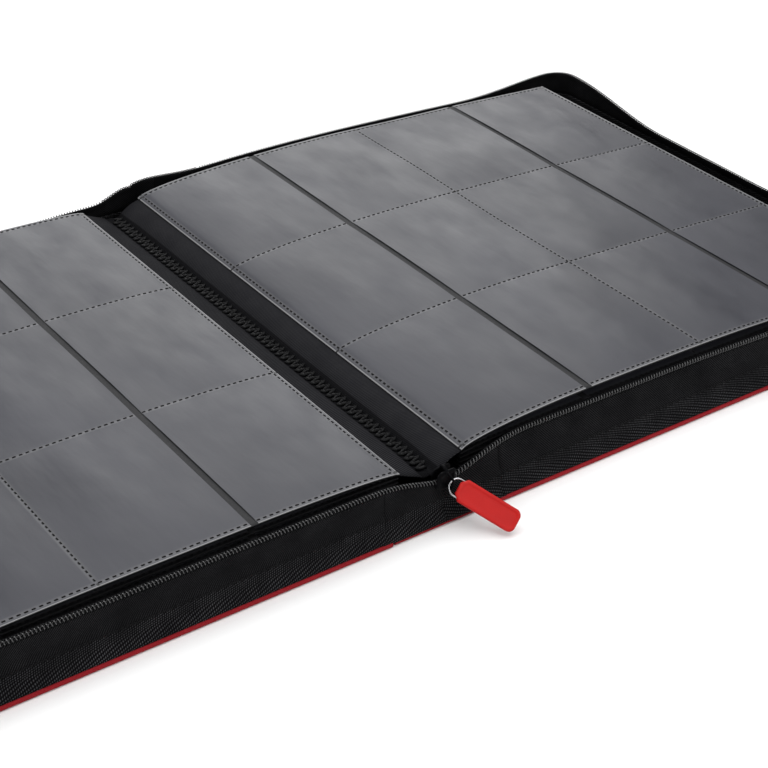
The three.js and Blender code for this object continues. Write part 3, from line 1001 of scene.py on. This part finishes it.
def spine_skin():
    """The red skin under the spine, flatter than the covers, and its fold to each cover."""
    (low_x, _, _), (high_x, high_y, _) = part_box("spine_skin")
    xs = columns_between(low_x, high_x, 3 * MM)

    def loop(shorter, flatter):
        far = [(high_y - shorter - inset * MM, height * MM * flatter) for inset, height in SKIN_WRAP]
        near = [(-y, z) for y, z in far]
        return np.array([*reversed(near[:9]), *far, *reversed(near[9:])])

    section = loop(0.7 * MM, 0.62)
    path = np.array([(x, 0, 0) for x in xs])
    made = sweep("spine_wrapped_skin", path, (0, 1, 0), (0, 0, 1), section, "cover_skin")
    mark_flat(made)
    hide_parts("spine_skin")
    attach(made, "spine")
    start, end = high_x - 0.8 * MM, SKIN_LOW.x + 0.8 * MM
    for name, side in SIDES.items():
        xs = np.linspace(start, end, 9)
        path = np.array([(side * x, 0, 0.2 * MM) for x in xs])
        fold = sweep(f"{name}_skin_fold", path, (0, 1, 0), (0, 0, 1), loop(1.5 * MM, 0.5), "cover_skin")
        mark_flat(fold)
        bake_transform(fold)


def spine_ends():
    """The gusset and zip where they cross the spine at both of its ends."""
    for end_name, end in ENDS.items():
        for name, side in SIDES.items():
            gusset_end(end_name, end, name, side)
            zip_end(end_name, end, name, side)


def strip_line(side, end, first, last, step):
    """A straight stretch of wall at a spine end."""
    xs = columns_between(first, last, step)
    path = np.array([(side * x, end * WALL_MIDDLE_Y, 0) for x in xs])
    return path, np.tile((0, float(end), 0), (len(xs), 1)), xs


def gusset_end(end_name, end, name, side):
    """Half of the gusset at a spine end. It hangs over the edge of the spine's board."""
    path, out, xs = strip_line(side, end, 0, 33 * MM, 1.5 * MM)
    path[:, 1] -= end * 0.12 * MM
    waves = [0.35 * MM * math.sin(x / (3.5 * MM)) * math.exp(-x / (20 * MM)) for x in xs]
    piece = gusset_strip(f"{end_name}_{name}_gusset_end", path, out, waves, SPINE_RIM)
    if side > 0:
        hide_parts(f"{end_name}_gusset_end")
    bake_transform(piece)


def zip_end(end_name, end, name, side):
    """Half of the loose zip at a spine end: its tape and its coil."""
    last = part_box("near_zip_end")[1][0]
    first = 1.2 * MM if end < 0 else 0.0
    path, out, xs = strip_line(side, end, first, last, 1.5 * MM)
    coil = coil_along(f"{end_name}_{name}_coil_end", path, out, xs)
    path, out, xs = strip_line(side, end, 0, TAPE_START, 1.5 * MM)
    waves = [0.2 * MM * math.sin(x / (3 * MM)) for x in xs]
    tape = tape_strip(f"{end_name}_{name}_tape_end", path, out, waves)
    if side > 0:
        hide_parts(f"{end_name}_zip_end")
    for piece in (coil, tape):
        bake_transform(piece)


# ---------------------------------------------------------------- slider and pull


def plate_outline(inset):
    """The slider's shield-shaped outline, as (x, z) pairs, drawn in by inset."""
    half, low, high, corner = 4.9 * MM, 18.2 * MM, 27.6 * MM, 1.5 * MM
    corners = ((low, 1, -1, 1, -90), (high, 1, 1, 1, 0), (high, -1, 1, 2, 90), (low, -1, -1, 2, 180))
    points = []
    for z, sign_x, sign_z, size, start in corners:
        x = sign_x * half
        reach = corner * size - inset * 0.6
        for k in range(7):
            turn = math.radians(start + 15 * k)
            middle_x, middle_z = x - sign_x * (inset + reach), z - sign_z * (inset + reach)
            points.append((middle_x + reach * math.cos(turn), middle_z + reach * math.sin(turn)))
    return points


def slider():
    """The slider: two shield plates with turned-in rims, the post between them, and a bridge for the pull."""
    slot_middle, slot_half, plate = -151.9 * MM, 1.4 * MM, 1.2 * MM
    layers = ((0.7, 0.0), (0.2, 0.08), (0.0, 0.35), (0.0, 0.75), (0.3, 1.05), (0.9, 1.2), (1.6, 1.2), (1.9, 1.08))
    for label, facing in (("outer", -1), ("inner", 1)):
        rings = [
            [(x, slot_middle + facing * (slot_half + depth * MM), z) for x, z in plate_outline(inset * MM)]
            for inset, depth in layers
        ]
        made = ring_stack(f"slider_{label}_plate", rings, "slider_metal")
        mark_flat(made)
        if facing < 0:
            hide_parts("slider_body")
        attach(made, "slider")
    spread, foot, rise = slot_half + 0.6 * MM, 26.2 * MM, 1.9 * MM
    path = [(0, slot_middle - spread * math.cos(turn), foot + rise * math.sin(turn))
            for turn in np.linspace(0, math.pi, 13)]
    post = tube("slider_post", path, 1.0 * MM, 10, "slider_metal")
    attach(post, "slider")
    low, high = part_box("slider_bail")
    radius, squareness = 0.5 * MM, 0.6
    face = slot_middle - slot_half - plate
    reach = face - low[1] - radius
    middle, half = (low[2] + high[2]) / 2, (high[2] - low[2]) / 2 - radius
    bow = []
    for turn in np.linspace(-math.pi / 2, math.pi / 2, 21):
        bend = math.copysign(abs(math.sin(turn)) ** squareness, math.sin(turn))
        bow.append((0, face + 0.1 * MM - reach * math.cos(turn) ** squareness, middle + half * bend))
    bridge = tube("slider_bridge", bow, radius, 10, "slider_metal")
    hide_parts("slider_bail")
    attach(bridge, "slider")


def pull():
    """The wire loop and the moulded rubber tab, in the frame of the pull's hinge."""
    hinge = next(found for found in frame["joints"] if found["name"] == "pull_swing")
    pivot = Vector(hinge["pos_m"])
    across = -Vector(hinge["axis"]).normalized()
    yaw, droop = math.radians(48), math.radians(31.6)
    along = Vector((math.sin(yaw) * math.cos(droop), -math.cos(yaw) * math.cos(droop), -math.sin(droop)))
    up = along.cross(across)

    def place(u, v, w):
        return pivot + along * u + across * v + up * w

    half, length, radius = 3.9 * MM, 12 * MM, 0.38 * MM
    loop = []
    for k in range(48):
        turn = 2 * math.pi * (k + 0.5) / 48
        shift = math.copysign(length / 2 - half, math.cos(turn))
        loop.append(place(length / 2 + half * math.cos(turn) + shift, half * math.sin(turn), 0))
    wire = tube("wire_loop", loop, radius, 12, "pull_wire", closed=True)
    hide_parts("pull_link")
    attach(wire, "pull")

    start, end, wide = 4 * MM, 34.5 * MM, 5.3 * MM
    rounding, cut = 3.0 * MM, 2.6 * MM

    def outline(inset):
        """The tab's outline, as (u, v) pairs: one half, and its mirror image."""
        bevel, reach = cut + inset * 0.4, rounding - inset * 0.5
        half_line = [(start + inset, bevel - wide), (start + bevel, inset - wide)]
        for k in range(9):
            turn = math.pi / 2 * (1 - k / 8)
            u = end - inset - reach + reach * math.cos(turn)
            half_line.append((u, inset + reach - wide - reach * math.sin(turn)))
        return half_line + [(u, -v) for u, v in reversed(half_line)]

    layers = (
        (1.3, -1.2), (0.55, -1.12), (0.15, -0.85), (0.0, -0.4), (0.0, 0.45), (0.12, 0.85), (0.45, 1.13), (0.85, 1.2),
        (1.25, 1.14), (1.6, 0.95), (2.1, 0.88), (3.4, 0.9),
    )
    rings = [[place(u, v, height * MM) for u, v in outline(inset * MM)] for inset, height in layers]
    tab = ring_stack("rubber_tab", rings, "pull_rubber")
    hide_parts("pull_tab")
    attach(tab, "pull")


# ---------------------------------------------------------------- stage


def stage():
    """A pale floor, soft studio light and the camera."""
    bpy.ops.mesh.primitive_plane_add(size=40, location=(0, 0, -0.1 * MM))
    floor = bpy.context.object
    floor.name = "floor"
    floor.data.materials.append(floor_finish())

    world = bpy.data.worlds.new("studio")
    world.use_nodes = True
    bpy.context.scene.world = world
    tree = world.node_tree
    background = tree.nodes["Background"]
    background.inputs[0].default_value = (1, 1, 1, 1)
    path = tree.nodes.new("ShaderNodeLightPath")
    strength = tree.nodes.new("ShaderNodeMapRange")
    strength.inputs["To Min"].default_value = 0.3
    strength.inputs["To Max"].default_value = 1.0
    tree.links.new(path.outputs["Is Camera Ray"], strength.inputs["Value"])
    tree.links.new(strength.outputs[0], background.inputs[1])

    lights = {
        "overhead": ("SUN", (0.15, 0.1, 1.6), (0, 0.05, 0), 75, 2.7),
        "window": ("AREA", (1.1, 1.7, 1.0), (0.1, 0.1, 0), 1.3, 12),
        "left": ("AREA", (-1.5, 0.3, 0.9), (0, 0, 0), 1.2, 12),
        "front": ("AREA", (0.5, -1.6, 0.8), (0, 0, 0), 1.0, 10),
    }
    for name, (kind, place, target, size, power) in lights.items():
        light = bpy.data.lights.new(name, kind)
        light.energy = power
        if kind == "SUN":
            light.angle = math.radians(size)
        else:
            light.size = size
        lamp = bpy.data.objects.new(name, light)
        lamp.location = place
        lamp.rotation_euler = (Vector(target) - Vector(place)).to_track_quat("-Z", "Y").to_euler()
        bpy.context.scene.collection.objects.link(lamp)

    azimuth, elevation, roll = (math.radians(angle) for angle in (-36.43, 32.48, 1.69))
    level = math.cos(elevation)
    back = Vector((math.sin(azimuth) * level, -math.cos(azimuth) * level, math.sin(elevation)))
    right = Vector((0, 0, 1)).cross(back).normalized()
    up = back.cross(right)
    tilted_right = right * math.cos(roll) + up * math.sin(roll)
    tilted_up = up * math.cos(roll) - right * math.sin(roll)
    camera = bpy.data.objects.new("camera", bpy.data.cameras.new("camera"))
    camera.data.lens = 84.4
    camera.data.sensor_width = 36
    turned = Matrix((tilted_right, tilted_up, back)).transposed().to_4x4()
    camera.matrix_world = Matrix.Translation((-0.3911, -0.6375, 0.4655)) @ turned
    bpy.context.scene.collection.objects.link(camera)
    bpy.context.scene.camera = camera
    bpy.context.scene.view_settings.view_transform = "Standard"


for part_name, part_side in SIDES.items():
    top_leaf(part_name, part_side)
    for leaf_number in range(2, LEAVES + 1):
        inner_leaf(part_name, part_side, leaf_number)
    margin(part_name, part_side)
    gusset_wall(part_name, part_side)
    zip_tape(part_name, part_side)
    zip_coil(part_name, part_side)
    cover_skin(part_name, part_side)
zigzag()
spine_skin()
spine_ends()
slider()
pull()

# The CAD nodes that stay as they are: the finish and the slot of each.
kept = {
    "spine_board": ("board", "board"), "spine_lining": ("lining", "lining"),
    "binding_strip": ("lining", "page_margin"),
    "front_cover_board": ("board", "board"), "front_cover_lining": ("lining", "lining"),
    "back_cover_board": ("board", "board"), "back_cover_lining": ("lining", "lining"),
}
for node_name, (finish_name, slot_name) in kept.items():
    node = frame["nodes"][node_name]
    node.data.materials.clear()
    node.data.materials.append(finish[finish_name])
stage()
